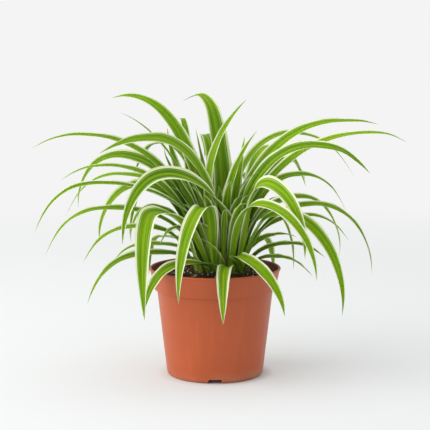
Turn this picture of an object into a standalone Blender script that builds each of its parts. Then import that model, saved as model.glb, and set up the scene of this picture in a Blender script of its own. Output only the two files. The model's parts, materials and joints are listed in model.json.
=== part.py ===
"""Potted spider plant: a rosette of arching, channelled leaves in a nursery pot.

Metres, +Z up.  The origin is the middle of the pot's underside, on the flat disc that
the pot rests on; the plant's front faces -Y.
"""
from collections import namedtuple
from math import atan2, cos, hypot, pi, radians, sin

import bmesh
import bpy
from mathutils import Matrix, Vector
from mathutils.bvhtree import BVHTree

MM = 0.001

# Pot
POT_HEIGHT = 98.5 * MM
RIM_RADIUS = 60.0 * MM
LIP_HEIGHT = 2.4 * MM
LIP_STAND = 0.9 * MM
BAND_HEIGHT = 19.5 * MM
BAND_FOOT_RADIUS = 55.6 * MM
BODY_TOP_RADIUS = 53.0 * MM
BASE_RADIUS = 44.3 * MM
BASE_CORNER = 3.0 * MM
WALL = 1.4 * MM
FOOT_RING_WIDTH = 5.0 * MM
CHANNEL_HEIGHT = 4.0 * MM
DISC_RADIUS = 14.0 * MM
POT_STEPS = 48

# Holes and notches that let the water out
DRAIN_COUNT = 6
DRAIN_RADIUS = 4.5 * MM
DRAIN_CIRCLE = 28.0 * MM
DRAIN_TURN = radians(30)
NOTCH_COUNT = 3
NOTCH_HEIGHT = 3.8 * MM
NOTCH_TOP_WIDTH = 10.5 * MM
NOTCH_FOOT_WIDTH = 15.0 * MM
NOTCH_REACH = 8.0 * MM

# Soil
GAP = 0.3 * MM
SOIL_EDGE_DEPTH = 9.0 * MM
SOIL_DOME = 3.0 * MM
SOIL_STEPS = 40
SOIL_RINGS = 6
WALL_GAP = 0.45 * MM

# Crown: the short stock that the leaves grow from, a little off the pot's middle
CROWN_CENTRE = Vector((6.0 * MM, 4.0 * MM, 0.0))
CROWN_RADIUS = 26.0 * MM
CROWN_EDGE = 1.0 * MM
CROWN_RISE = 3.5 * MM
CROWN_STEPS = 32
CROWN_RINGS = 5
WHORL_RADII = (5.0 * MM, 9.5 * MM, 14.0 * MM, 18.5 * MM, 23.0 * MM)
WHORL_LEAN = radians(5)

# Blades
BLADE_THICKNESS = 1.0 * MM
BASE_LIFT = 0.8 * MM
BASE_WIDTH = 4.6 * MM
BASE_FOLD = 0.42
BLADE_FOLD = 0.16
UNFOLDED = 0.35
BLADE_RINGS = 13
CURVE_SAMPLES = 24
WIDEST = 0.36
TIP_FULLNESS = 2.1
FACES_ITS_WAY = 0.4
FULLY_ROLLED = 0.5
TIP_THINNING = 0.5

# A leaf's middle line: how far it keeps the way that it springs, as a share of its rise,
# how early it levels out before its crest, and how far it carries on over the crest.
# A leaf that drops steeply for its reach hangs: its tip falls straighter and carries on.
STAND_STEM = 0.5
CLIMB_STEM = 0.6
LEVEL_RUN = 0.55
CREST_RUN = 0.5
HANG_RUN = 0.1
MAX_HANG = 1.5
TIP_RUN = 0.4
TIP_FALL = 0.15
HANG_FALL = 0.9
HANG_WAY = 0.8

# Room between leaves
TURN_STEP = radians(1)
TURN_TRIES = 30
CLEARANCE = 0.5 * MM

# A leaf springs from a whorl (1 is innermost), rises to its crest and falls to its tip.
# Places are in millimetres, the width too.  A leaf whose tip is above its crest stands
# up: it only bends towards the crest.  The turn is how many degrees the blade's upper
# side is rolled to the front.  The seat is where on its whorl the leaf starts, in degrees
# round +Z, where that isn't the way it goes.
Leaf = namedtuple("Leaf", "whorl crest tip width turn seat", defaults=[None])

LEAVES = {
    "leaf_left": [
        Leaf(2, (-80, 35, 253), (-97, 45, 250), 14, 50, 128),
        Leaf(2, (-42, 18, 222), (-89, 20, 239), 7, 10),
        Leaf(2, (-54, -30, 219), (-101, -45, 206), 16, 48, 290),
        Leaf(3, (-119, -20, 221), (-162, -30, 209), 12, 28),
        Leaf(3, (-89, 15, 200), (-126, 15, 150), 14, 38),
        Leaf(3, (-97, -5, 192), (-140, -5, 178), 11, 25),
        Leaf(3, (-87, 36, 180), (-141, 42, 138), 10, 22),
        Leaf(3, (-104, -40, 180), (-158, -50, 136), 11, 20),
        Leaf(3, (-46, -52, 190), (-83, -80, 132), 17, 46),
        Leaf(4, (-96, -25, 156), (-152, -25, 112), 10, 22),
        Leaf(4, (-66, 0, 175), (-105, -6, 122), 14, 38, 200),
        Leaf(4, (-58, -22, 157), (-75, -25, 124), 10, 15),
        Leaf(5, (-70, -35, 141), (-117, -35, 108), 10, 22),
        Leaf(5, (-60, 12, 118), (-97, 14, 98), 9, 15),
        Leaf(5, (-60, -15, 114), (-116, -15, 66), 10, 25),
        Leaf(5, (-34, -18, 138), (-51, -32, 124), 8, 12),
    ],
    "leaf_right": [
        Leaf(1, (6, -7, 184), (38, -10, 224), 14, 45, 315),
        Leaf(1, (22, 0, 190), (27, 0, 218), 13, 60),
        Leaf(2, (21, 11, 165), (26, 13, 196), 9, 10),
        Leaf(2, (114, 15, 231), (151, 20, 227), 14, 36, 70),
        Leaf(2, (140, -10, 222), (172, -15, 213), 12, 34),
        Leaf(2, (87, -25, 212), (137, -35, 187), 16, 40),
        Leaf(3, (68, 40, 218), (132, 50, 175), 11, 18, 120),
        Leaf(3, (66, 65, 191), (88, 80, 167), 13, 32),
        Leaf(3, (77, 25, 181), (122, 25, 145), 11, 22),
        Leaf(4, (44, -45, 181), (77, -75, 118), 16, 38),
        Leaf(4, (42, -59, 164), (88, -86, 101), 13, 22),
        Leaf(4, (61, -30, 152), (112, -50, 63), 13, 38),
        Leaf(4, (81, 35, 159), (117, 35, 102), 12, 25),
        Leaf(4, (91, -5, 157), (143, -5, 90), 11, 18),
        Leaf(4, (82, 10, 145), (124, 10, 120), 10, 18),
        Leaf(4, (55, 60, 141), (76, 75, 82), 12, 25),
        Leaf(5, (60, 45, 122), (78, 50, 118), 10, 18),
        Leaf(5, (68, 20, 117), (103, 20, 103), 10, 20),
        Leaf(5, (53, 0, 108), (90, 0, 89), 9, 12),
    ],
    "leaf_front": [
        Leaf(4, (-56, -63, 158), (-63, -90, 68), 18, 22),
        Leaf(4, (-10, -45, 160), (-31, -85, 81), 17, 0),
        Leaf(5, (9, -45, 106), (7, -78, 61), 13, 0),
        Leaf(5, (-28, -35, 108), (-63, -60, 65), 14, 22),
        Leaf(5, (22, -45, 116), (60, -75, 68), 14, 12),
        Leaf(4, (2, -28, 122), (-15, -30, 130), 6, 0),
        Leaf(5, (-16, -16, 106), (-20, -17, 116), 6, 0),
    ],
    "leaf_centre": [
        Leaf(1, (-11, 38, 253), (-30, 60, 246), 21, 12, 80),
        Leaf(1, (-24, 5, 198), (29, 10, 251), 11, 35),
        Leaf(1, (-12, 20, 195), (-18, 25, 224), 7, 0),
        Leaf(2, (-9, 52, 216), (-10, 90, 190), 14, 0),
        Leaf(4, (-33, 60, 230), (-30, 95, 216), 9, 0, 150),
        Leaf(2, (-42, 22, 190), (-44, 26, 224), 12, 30),
        Leaf(2, (-44, -12, 185), (-46, -14, 210), 11, 35),
    ],
    "leaf_back": [
        Leaf(5, (-45, 45, 120), (-65, 85, 75), 12, 0),
        Leaf(5, (40, 50, 118), (60, 90, 75), 12, 0),
        Leaf(4, (-15, 60, 165), (-25, 110, 95), 14, 0),
        Leaf(3, (14, 66, 178), (22, 120, 120), 12, 0),
        Leaf(4, (-50, 60, 170), (-85, 105, 110), 13, 0),
        Leaf(3, (-60, 75, 205), (-105, 130, 165), 13, 0),
        Leaf(3, (52, 80, 202), (92, 136, 156), 12, 0),
    ],
    "young_shoot": [
        Leaf(3, (-9, -12, 146), (-13, -13, 165), 6, 0),
    ],
}


def clear_scene():
    for obj in list(bpy.data.objects):
        bpy.data.objects.remove(obj, do_unlink=True)


def new_collection(name):
    collection = bpy.data.collections.new(name)
    bpy.context.scene.collection.children.link(collection)
    return collection


def new_material(name, colour, roughness):
    material = bpy.data.materials.new(name)
    material.use_nodes = True
    shader = material.node_tree.nodes["Principled BSDF"]
    shader.inputs["Base Color"].default_value = (*colour, 1.0)
    shader.inputs["Roughness"].default_value = roughness
    shader.inputs["Metallic"].default_value = 0.0
    return material


def new_object(name, bm, material, collection):
    mesh = bpy.data.meshes.new(name)
    bm.to_mesh(mesh)
    bm.free()
    mesh.materials.append(material)
    obj = bpy.data.objects.new(name, mesh)
    collection.objects.link(obj)
    return obj


def turned(name, profile, steps, material, collection):
    """Turn an open profile of (radius, height) points, both ends on the axis, about Z."""
    bm = bmesh.new()
    verts = [bm.verts.new((radius, 0.0, height)) for radius, height in profile]
    for first, second in zip(verts, verts[1:]):
        bm.edges.new((first, second))
    obj = new_object(name, bm, material, collection)
    screw = obj.modifiers.new("turn", "SCREW")
    screw.steps = steps
    screw.render_steps = steps
    screw.use_merge_vertices = True
    screw.merge_threshold = 0.00001
    screw.use_smooth_shade = True
    return obj


def arc(centre, radius, start, end, count):
    """Points of (radius, height) on a round corner, from start to end degrees."""
    angles = [radians(start + (end - start) * k / count) for k in range(count + 1)]
    return [(centre[0] + radius * cos(a), centre[1] + radius * sin(a)) for a in angles]


def body_radius(height):
    """Outer radius of the pot's tapered body at a height."""
    taper = (BODY_TOP_RADIUS - BASE_RADIUS) / (POT_HEIGHT - BAND_HEIGHT)
    return BASE_RADIUS + taper * height


def pot_profile():
    """The pot's section, from the middle of its floor up inside, over the lip and down."""
    band_foot = POT_HEIGHT - BAND_HEIGHT
    lip_foot = POT_HEIGHT - LIP_HEIGHT
    floor_top = CHANNEL_HEIGHT + WALL
    foot_inside = BASE_RADIUS - FOOT_RING_WIDTH
    band_top_radius = RIM_RADIUS - LIP_STAND
    roll = LIP_HEIGHT / 2
    points = [
        (0.0, WALL),
        (DISC_RADIUS, WALL),
        (DISC_RADIUS + WALL, floor_top),
        (body_radius(floor_top) - WALL, floor_top),
        (body_radius(band_foot) - WALL, band_foot - WALL),
        (BAND_FOOT_RADIUS - WALL, band_foot + WALL),
        (band_top_radius - WALL, lip_foot),
    ]
    points += arc((band_top_radius - WALL + roll, POT_HEIGHT - roll), roll, 180, 90, 4)
    points += arc((RIM_RADIUS - roll, POT_HEIGHT - roll), roll, 90, -90, 6)
    points += [
        (band_top_radius, lip_foot),
        (BAND_FOOT_RADIUS, band_foot),
        (BODY_TOP_RADIUS, band_foot),
    ]
    points += arc((BASE_RADIUS - BASE_CORNER, BASE_CORNER), BASE_CORNER, 0, -90, 4)
    points += [
        (foot_inside, 0.0),
        (foot_inside - WALL, CHANNEL_HEIGHT),
        (DISC_RADIUS + WALL, CHANNEL_HEIGHT),
        (DISC_RADIUS, 0.0),
        (0.0, 0.0),
    ]
    return points


def drain_cutter(index, collection):
    bm = bmesh.new()
    bmesh.ops.create_cone(bm, cap_ends=True, segments=16, radius1=DRAIN_RADIUS,
                          radius2=DRAIN_RADIUS, depth=4 * CHANNEL_HEIGHT)
    angle = DRAIN_TURN + 2 * pi * index / DRAIN_COUNT
    place = Vector((DRAIN_CIRCLE * cos(angle), DRAIN_CIRCLE * sin(angle), CHANNEL_HEIGHT))
    bmesh.ops.translate(bm, verts=bm.verts, vec=place)
    return new_cutter(f"drain_cutter_{index + 1}", bm, collection)


def notch_cutter(index, collection):
    """A wedge, wider at the foot, that cuts through the foot ring along its radius."""
    bm = bmesh.new()
    bmesh.ops.create_cube(bm, size=1.0)
    inner = BASE_RADIUS - NOTCH_REACH
    outer = BASE_RADIUS + NOTCH_REACH
    slope = (NOTCH_FOOT_WIDTH - NOTCH_TOP_WIDTH) / NOTCH_HEIGHT
    for vert in bm.verts:
        height = NOTCH_HEIGHT if vert.co.z > 0 else -NOTCH_HEIGHT
        width = NOTCH_TOP_WIDTH + slope * (NOTCH_HEIGHT - height)
        along = outer if vert.co.x > 0 else inner
        vert.co = (along, width / 2 if vert.co.y > 0 else -width / 2, height)
    turn = Matrix.Rotation(2 * pi * index / NOTCH_COUNT - pi / 2, 3, "Z")
    bmesh.ops.rotate(bm, verts=bm.verts, cent=(0, 0, 0), matrix=turn)
    return new_cutter(f"notch_cutter_{index + 1}", bm, collection)


def new_cutter(name, bm, collection):
    mesh = bpy.data.meshes.new(name)
    bm.to_mesh(mesh)
    bm.free()
    cutter = bpy.data.objects.new(name, mesh)
    cutter.hide_render = True
    cutter.display_type = "WIRE"
    collection.objects.link(cutter)
    return cutter


def build_pot(parts, cutters):
    plastic = new_material("pot_plastic", (0.50, 0.105, 0.035), 0.42)
    pot = turned("pot", pot_profile(), POT_STEPS, plastic, parts)
    tools = [drain_cutter(k, cutters) for k in range(DRAIN_COUNT)]
    tools += [notch_cutter(k, cutters) for k in range(NOTCH_COUNT)]
    for tool in tools:
        cut = pot.modifiers.new(tool.name, "BOOLEAN")
        cut.operation = "DIFFERENCE"
        cut.solver = "EXACT"
        cut.object = tool


def soil_top(radius):
    """Height of the soil at a distance from the pot's axis: a low dome."""
    edge = POT_HEIGHT - SOIL_EDGE_DEPTH
    share = min(radius / RIM_RADIUS, 1.0)
    return edge + SOIL_DOME * cos(share * pi / 2) ** 2


def build_soil(parts):
    """The soil fills the pot from its floor, a hair clear of the wall."""
    earth = new_material("soil_mix", (0.045, 0.025, 0.015), 0.95)
    band_foot = POT_HEIGHT - BAND_HEIGHT
    edge = POT_HEIGHT - SOIL_EDGE_DEPTH
    climb = (edge - band_foot) / BAND_HEIGHT
    band_top = RIM_RADIUS - LIP_STAND
    edge_radius = BAND_FOOT_RADIUS + climb * (band_top - BAND_FOOT_RADIUS) - WALL - GAP
    rings = [edge_radius * k / SOIL_RINGS for k in range(SOIL_RINGS)]
    floor = CHANNEL_HEIGHT + WALL + GAP
    profile = [(radius, soil_top(radius)) for radius in rings]
    profile += [
        (edge_radius, soil_top(edge_radius)),
        (BAND_FOOT_RADIUS - WALL - WALL_GAP, band_foot + WALL + GAP),
        (body_radius(band_foot) - WALL - WALL_GAP, band_foot - WALL - GAP),
        (body_radius(floor) - WALL - WALL_GAP, floor),
        (0.0, floor),
    ]
    turned("soil", profile, SOIL_STEPS, earth, parts)


def crown_top(radius):
    """Height of the crown's upper face at a distance from its own middle."""
    edge = soil_top(0.0) + CROWN_EDGE
    return edge + CROWN_RISE * (1 - (radius / CROWN_RADIUS) ** 2)


def build_crown(parts):
    """The low, rounded stock, resting on the soil."""
    stock = new_material("crown_stock", (0.42, 0.45, 0.24), 0.6)
    foot = soil_top(0.0) + GAP
    radii = [CROWN_RADIUS * k / CROWN_RINGS for k in range(CROWN_RINGS + 1)]
    profile = [(radius, crown_top(radius)) for radius in radii]
    profile += [(CROWN_RADIUS - CROWN_EDGE, foot), (0.0, foot)]
    crown = turned("crown", profile, CROWN_STEPS, stock, parts)
    crown.location = CROWN_CENTRE


def smooth(value):
    value = min(max(value, 0.0), 1.0)
    return value * value * (3 - 2 * value)


def flat(vector):
    """The level direction of a vector."""
    level = Vector((vector.x, vector.y, 0.0))
    return level.normalized()


def heading(leaf):
    """Where a leaf wants to start on its whorl, in radians round +Z."""
    if leaf.seat is not None:
        return radians(leaf.seat)
    aim = Vector(leaf.crest) * MM - CROWN_CENTRE
    return atan2(aim.y, aim.x)


def seats(leaves):
    """Seat each leaf on its whorl: evenly spaced, in the order of their headings."""
    angles = {}
    for whorl in sorted({leaf.whorl for leaf in leaves}):
        ring = sorted((k for k, leaf in enumerate(leaves) if leaf.whorl == whorl),
                      key=lambda k: heading(leaves[k]) % (2 * pi))
        step = 2 * pi / len(ring)
        drift = [heading(leaves[k]) - place * step for place, k in enumerate(ring)]
        phase = atan2(sum(sin(d) for d in drift), sum(cos(d) for d in drift))
        for place, k in enumerate(ring):
            angles[k] = phase + place * step
    return angles


def bezier(ends, count):
    a, b, c, d = ends
    for k in range(count):
        t = k / count
        s = 1 - t
        yield a * s ** 3 + b * 3 * s * s * t + c * 3 * s * t * t + d * t ** 3


def leaf_path(leaf, seat, swing):
    """The blade's middle line, and the level way that it goes."""
    out = Vector((cos(seat), sin(seat), 0.0))
    radius = WHORL_RADII[leaf.whorl - 1]
    base = CROWN_CENTRE + out * radius
    base.z = crown_top(radius) + BASE_LIFT
    lean = leaf.whorl * WHORL_LEAN
    spring = out * sin(lean) + Vector((0, 0, cos(lean)))
    turn = Matrix.Rotation(swing, 3, "Z")
    tip = turn @ (Vector(leaf.tip) * MM - CROWN_CENTRE) + CROWN_CENTRE
    crest = turn @ (Vector(leaf.crest) * MM - CROWN_CENTRE) + CROWN_CENTRE
    way = flat(tip - base)
    if tip.z > crest.z:
        stem = spring * (crest - base).length * STAND_STEM
        ends = (base, base + stem, crest, tip)
        return list(bezier(ends, 2 * CURVE_SAMPLES)) + [tip], way
    rise = crest.z - base.z
    run = hypot(crest.x - base.x, crest.y - base.y)
    reach = hypot(tip.x - crest.x, tip.y - crest.y)
    drop = crest.z - tip.z
    hang = min(drop / reach, MAX_HANG)
    down = Vector((0, 0, TIP_FALL + HANG_FALL * hang))
    fall = (way * (1 - HANG_WAY * hang) - down).normalized()
    over = way * reach * (CREST_RUN + HANG_RUN * hang)
    climb = (base, base + spring * rise * CLIMB_STEM, crest - way * run * LEVEL_RUN, crest)
    descent = (crest, crest + over, tip - fall * hypot(reach, drop) * TIP_RUN, tip)
    path = list(bezier(climb, CURVE_SAMPLES)) + list(bezier(descent, CURVE_SAMPLES)) + [tip]
    return path, way


def evenly(path, count):
    """Points at even steps of length along a path."""
    lengths = [0.0]
    for first, second in zip(path, path[1:]):
        lengths.append(lengths[-1] + (second - first).length)
    points = []
    k = 0
    for step in range(count):
        goal = lengths[-1] * step / (count - 1)
        while k < len(path) - 2 and lengths[k + 1] < goal:
            k += 1
        part = (goal - lengths[k]) / (lengths[k + 1] - lengths[k])
        points.append(path[k].lerp(path[k + 1], min(part, 1.0)))
    return points


def blade_width(leaf, along):
    """Narrow at the base, widest before the middle, tapering to a long point."""
    full = leaf.width * MM
    if along < WIDEST:
        start = min(BASE_WIDTH, full)
        return start + (full - start) * smooth(along / WIDEST)
    return full * (1 - ((along - WIDEST) / (1 - WIDEST)) ** TIP_FULLNESS)


def blade_mesh(leaf, seat, swing, spare):
    """A thin channelled blade, its section a shallow V, with a single point at the tip."""
    path, way = leaf_path(leaf, seat, swing)
    points = evenly(path, BLADE_RINGS + 1)
    twist = (atan2(way.y, way.x) - seat + pi) % (2 * pi) - pi
    roll = radians(leaf.turn) * (1 if way.x > 0 else -1)
    bm = bmesh.new()
    rings = []
    for k in range(BLADE_RINGS):
        along = k / BLADE_RINGS
        run = (points[k + 1] - points[max(k - 1, 0)]).normalized()
        facing = seat + twist * smooth(along / FACES_ITS_WAY)
        side = Vector((-sin(facing), cos(facing), 0.0))
        side = (side - run * side.dot(run)).normalized()
        side = Matrix.Rotation(roll * smooth(along / FULLY_ROLLED), 3, run) @ side
        upper = run.cross(side)
        width = blade_width(leaf, along)
        fold = (BASE_FOLD + (BLADE_FOLD - BASE_FOLD) * smooth(along / UNFOLDED)) * width / 2
        thick = BLADE_THICKNESS * (1 - TIP_THINNING * along) / 2 + spare
        half = width / 2 + spare
        rings.append([
            bm.verts.new(points[k] + upper * fold + side * half),
            bm.verts.new(points[k] - upper * (fold - thick)),
            bm.verts.new(points[k] + upper * fold - side * half),
            bm.verts.new(points[k] - upper * (fold + thick)),
        ])
    for lower, higher in zip(rings, rings[1:]):
        for j in range(4):
            bm.faces.new((lower[j], lower[(j + 1) % 4], higher[(j + 1) % 4], higher[j]))
    apex = bm.verts.new(points[-1])
    for j in range(4):
        bm.faces.new((rings[-1][j], rings[-1][(j + 1) % 4], apex))
    left, top, right, under = rings[0]
    bm.faces.new((left, under, top))
    bm.faces.new((top, under, right))
    bmesh.ops.triangulate(bm, faces=bm.faces)
    bmesh.ops.recalc_face_normals(bm, faces=bm.faces)
    return bm


def find_room(leaf, seat, placed):
    """Swing a leaf a little about the crown, one way then the other, until it is clear."""
    for k in range(TURN_TRIES):
        swing = TURN_STEP * ((k + 1) // 2) * (1 if k % 2 else -1)
        bm = blade_mesh(leaf, seat, swing, CLEARANCE)
        tree = BVHTree.FromBMesh(bm)
        bm.free()
        if not any(tree.overlap(other) for other in placed):
            return swing
    return 0.0


def build_leaves(parts):
    green = new_material("leaf_blade", (0.16, 0.36, 0.06), 0.45)
    names = [f"{group}_{k + 1:02d}" for group, leaves in LEAVES.items() for k in range(len(leaves))]
    leaves = [leaf for group in LEAVES.values() for leaf in group]
    angles = seats(leaves)
    placed = []
    for k, (name, leaf) in enumerate(zip(names, leaves)):
        swing = find_room(leaf, angles[k], placed)
        bm = blade_mesh(leaf, angles[k], swing, 0.0)
        placed.append(BVHTree.FromBMesh(bm))
        obj = new_object(name, bm, green, parts)
        obj.data.shade_smooth()


def main():
    clear_scene()
    parts = new_collection("potted_spider_plant")
    cutters = new_collection("cutters")
    build_pot(parts, cutters)
    build_soil(parts)
    build_crown(parts)
    build_leaves(parts)


if __name__ == "__main__":
    main()
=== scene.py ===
"""Potted spider plant: the looks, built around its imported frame.

Run as a script.  Each operator makes one piece or one group of like pieces; the panel in
the 3D view's sidebar lists them.  Metres, +Z up, the plant's front faces -Y.
"""
import json
from math import cos, pi, radians, sin

import bmesh
import bpy
import numpy as np
from mathutils import Matrix, Vector, noise
from mathutils.bvhtree import BVHTree

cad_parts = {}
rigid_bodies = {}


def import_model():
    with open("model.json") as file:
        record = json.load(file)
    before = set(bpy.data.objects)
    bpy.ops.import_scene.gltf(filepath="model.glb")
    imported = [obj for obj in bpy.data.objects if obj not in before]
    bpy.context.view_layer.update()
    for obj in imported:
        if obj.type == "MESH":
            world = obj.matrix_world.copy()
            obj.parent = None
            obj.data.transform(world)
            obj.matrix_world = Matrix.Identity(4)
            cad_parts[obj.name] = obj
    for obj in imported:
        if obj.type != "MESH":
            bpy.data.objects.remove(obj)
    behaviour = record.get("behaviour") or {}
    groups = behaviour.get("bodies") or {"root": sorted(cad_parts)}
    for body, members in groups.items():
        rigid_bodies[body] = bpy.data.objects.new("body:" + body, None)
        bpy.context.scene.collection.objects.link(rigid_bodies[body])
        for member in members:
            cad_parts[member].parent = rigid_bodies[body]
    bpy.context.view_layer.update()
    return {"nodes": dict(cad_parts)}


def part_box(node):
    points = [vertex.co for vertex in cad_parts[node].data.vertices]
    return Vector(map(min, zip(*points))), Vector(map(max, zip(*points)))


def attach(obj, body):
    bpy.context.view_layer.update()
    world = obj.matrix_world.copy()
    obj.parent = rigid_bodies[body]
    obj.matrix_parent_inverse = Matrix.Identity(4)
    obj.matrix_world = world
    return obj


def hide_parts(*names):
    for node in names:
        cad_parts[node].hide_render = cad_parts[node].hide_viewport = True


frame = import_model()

POT_LOW, POT_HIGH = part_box("pot")
SOIL_LOW, SOIL_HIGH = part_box("soil")
CROWN_LOW, CROWN_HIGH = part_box("crown")
CROWN_MIDDLE = (CROWN_LOW + CROWN_HIGH) / 2

BODY = "root"
MM = 0.001

bl_info = {
    "name": "Potted Spider Plant",
    "version": (1, 0, 0),
    "blender": (4, 5, 0),
    "location": "View3D > Sidebar > Spider Plant",
    "description": "Builds a variegated spider plant in a plastic nursery pot",
    "category": "Add Mesh",
}


# ---------------------------------------------------------------- settings


def length(name, description, default):
    return bpy.props.FloatProperty(name=name, description=description, default=default,
                                   min=0.0, precision=5, unit="LENGTH")


def share(name, description, default):
    return bpy.props.FloatProperty(name=name, description=description, default=default,
                                   min=0.0, max=1.0, subtype="FACTOR")


def count(name, description, default):
    return bpy.props.IntProperty(name=name, description=description, default=default, min=1)


def colour(name, description, default):
    return bpy.props.FloatVectorProperty(name=name, description=description, size=3,
                                         default=default, min=0.0, max=1.0, subtype="COLOR")


class BladeSettings(bpy.types.PropertyGroup):
    """Sizes and colours of the leaf blades."""

    thickness: length("Thickness", "Thickness of a blade along its middle", 0.5 * MM)
    steps: count("Steps", "Sections along a blade", 56)
    strips: count("Strips", "Strips across a blade's upper side", 10)
    root_depth: length("Root depth", "How far a blade reaches into the crown", 5 * MM)
    ripple: length("Ripple", "Height of the waves along a blade's margins", 0.35 * MM)
    twist: bpy.props.FloatProperty(name="Twist", default=radians(5), subtype="ANGLE",
                                   description="How far a blade rocks from side to side")
    deep_green: colour("Deep green", "The blade on either side of its streak",
                       (0.062, 0.195, 0.0))
    fresh_green: colour("Fresh green", "Blades that are younger or lit through",
                        (0.150, 0.330, 0.0))
    streak: colour("Streak", "The paler streak along the middle", (0.400, 0.56, 0.020))
    cream: colour("Cream", "The pale margins", (0.88, 0.97, 0.58))
    pale_base: colour("Pale base", "The blade where it leaves the crown", (0.50, 0.62, 0.16))
    underside: colour("Underside", "The matt lower side", (0.19, 0.32, 0.03))
    husk: colour("Husk", "The crown under the blades", (0.055, 0.050, 0.018))
    bract: colour("Bract", "The young shoot's pale wrapping", (0.42, 0.36, 0.16))
    margin: share("Margin", "Where the cream margin starts, from middle to edge", 0.72)
    inner_blades: count("Inner blades", "Small blades that fill the middle", 46)
    inner_seed: count("Inner seed", "Seed of the small blades' places", 11)
    inner_tries: count("Inner tries", "Places tried for each small blade to find it room", 12)


class PotSettings(bpy.types.PropertyGroup):
    """Sizes and colour of the nursery pot."""

    plastic: colour("Plastic", "The pot's moulded plastic", (0.455, 0.084, 0.018))
    dust: colour("Dust", "Dust low on the pot", (0.42, 0.25, 0.16))
    # Painted shade: a darker colour laid on the inside of the wall, where shade falls.
    painted_inner_shade: colour("Damp", "The damp stain inside the wall", (0.17, 0.032, 0.006))
    wall: length("Wall", "Thickness of the wall", 1.4 * MM)
    band: length("Rim band", "Height of the band under the rim", 19.5 * MM)
    band_foot: length("Band foot radius", "Outer radius of the band's lower edge", 55.6 * MM)
    body_top: length("Body top radius", "Outer radius of the body under the band", 53.0 * MM)
    base: length("Base radius", "Outer radius of the foot", 44.3 * MM)
    lip: length("Lip", "Height of the rolled lip", 2.4 * MM)
    channel: length("Channel", "Height of the channel under the floor", 4.0 * MM)
    disc: length("Disc radius", "Radius of the flat disc that the pot rests on", 14.0 * MM)
    foot_ring: length("Foot ring", "Width of the ring round the foot", 5.0 * MM)
    segments: count("Segments", "Segments round the pot", 160)


class SoilSettings(bpy.types.PropertyGroup):
    """Sizes and colours of the potting mix."""

    peat: colour("Peat", "The damp fibre that most of the mix is", (0.032, 0.017, 0.008))
    bark: colour("Bark", "Crumbs of bark", (0.14, 0.070, 0.030))
    grit: colour("Grit", "Grains of perlite", (0.72, 0.69, 0.62))
    straw: colour("Straw", "Dry fibres", (0.52, 0.40, 0.22))
    lumps: length("Lumps", "Height of the surface's lumps", 1.5 * MM)
    crumbs: bpy.props.FloatProperty(name="Crumbs", description="Crumbs on a square metre",
                                    default=130000.0, min=0.0)
    grains: bpy.props.FloatProperty(name="Grains", description="Grains on a square metre",
                                    default=17000.0, min=0.0)
    fibres: bpy.props.FloatProperty(name="Fibres", description="Fibres on a square metre",
                                    default=6500.0, min=0.0)


class StageSettings(bpy.types.PropertyGroup):
    """The plain studio and its camera."""

    distance: length("Camera distance", "From the pot's axis to the camera", 1.187)
    height: length("Camera height", "Of the camera above the surface", 0.3068)
    pitch: bpy.props.FloatProperty(name="Pitch", default=radians(7.71), subtype="ANGLE",
                                   description="How far the camera looks down")
    lens: bpy.props.FloatProperty(name="Lens", default=110.3, min=1.0, subtype="DISTANCE_CAMERA",
                                  description="Focal length on a 36 mm sensor")
    backdrop: colour("Backdrop", "The pale surroundings", (0.905, 0.905, 0.905))
    floor: colour("Floor", "The surface under the pot", (0.765, 0.790, 0.797))


class PlantSettings(bpy.types.PropertyGroup):
    """Everything that a user may change."""

    blades: bpy.props.PointerProperty(type=BladeSettings, name="Blades")
    pot: bpy.props.PointerProperty(type=PotSettings, name="Pot")
    soil: bpy.props.PointerProperty(type=SoilSettings, name="Soil")
    stage: bpy.props.PointerProperty(type=StageSettings, name="Stage")


# ---------------------------------------------------------------- shader parts


def node(tree, kind, inputs=None, **settings):
    """Add a node with its settings; inputs maps a socket to a value or to a socket."""
    made = tree.nodes.new(kind)
    for key, value in settings.items():
        setattr(made, key, value)
    for key, value in (inputs or {}).items():
        if isinstance(value, bpy.types.NodeSocket):
            tree.links.new(value, made.inputs[key])
        else:
            made.inputs[key].default_value = value
    return made


def maths(tree, operation, first, second=0.0, third=0.0):
    """One sum of up to three values."""
    made = node(tree, "ShaderNodeMath", {0: first, 1: second, 2: third}, operation=operation)
    return made.outputs[0]


def times(tree, first, second):
    """A product of two values."""
    return maths(tree, "MULTIPLY", first, second)


def varied(tree, uneven, amount, middle):
    """A middle value that varies with an uneven one, which lies round 0.5."""
    return maths(tree, "MULTIPLY_ADD", maths(tree, "SUBTRACT", uneven, 0.5), amount, middle)


def vector(tree, x, y, z):
    """A vector of three values."""
    return node(tree, "ShaderNodeCombineXYZ", {"X": x, "Y": y, "Z": z}).outputs[0]


def stretched(tree, place, scale):
    """A place scaled along each axis."""
    made = node(tree, "ShaderNodeVectorMath", {0: place, 1: scale}, operation="MULTIPLY")
    return made.outputs[0]


def mottle(tree, place, scale, detail, roughness=0.5):
    """An uneven value round 0.5."""
    made = node(tree, "ShaderNodeTexNoise", {"Vector": place, "Scale": scale, "Detail": detail,
                                             "Roughness": roughness})
    return made.outputs["Fac"]


def ramp(tree, value, low, high, out_low=0.0, out_high=1.0):
    """A smooth step of a value from low to high."""
    made = node(tree, "ShaderNodeMapRange", {"Value": value, "From Min": low, "From Max": high,
                                             "To Min": out_low, "To Max": out_high},
                interpolation_type="SMOOTHSTEP")
    return made.outputs["Result"]


def blend(tree, factor, first, second, blend_type="MIX"):
    """Two colours mixed by a factor; each of the three is a value or a socket."""
    made = node(tree, "ShaderNodeMix", data_type="RGBA", blend_type=blend_type)
    for key, value in ((0, factor), (6, first), (7, second)):
        socket = made.inputs[key]
        if isinstance(value, bpy.types.NodeSocket):
            tree.links.new(value, socket)
        elif isinstance(value, (int, float)):
            socket.default_value = value
        else:
            socket.default_value = (*value[:3], 1.0)
    return made.outputs[2]


def toned(tree, base, tone):
    """A colour made lighter or darker by a value round 1."""
    return blend(tree, 1.0, base, vector(tree, tone, tone, tone), "MULTIPLY")


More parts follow.
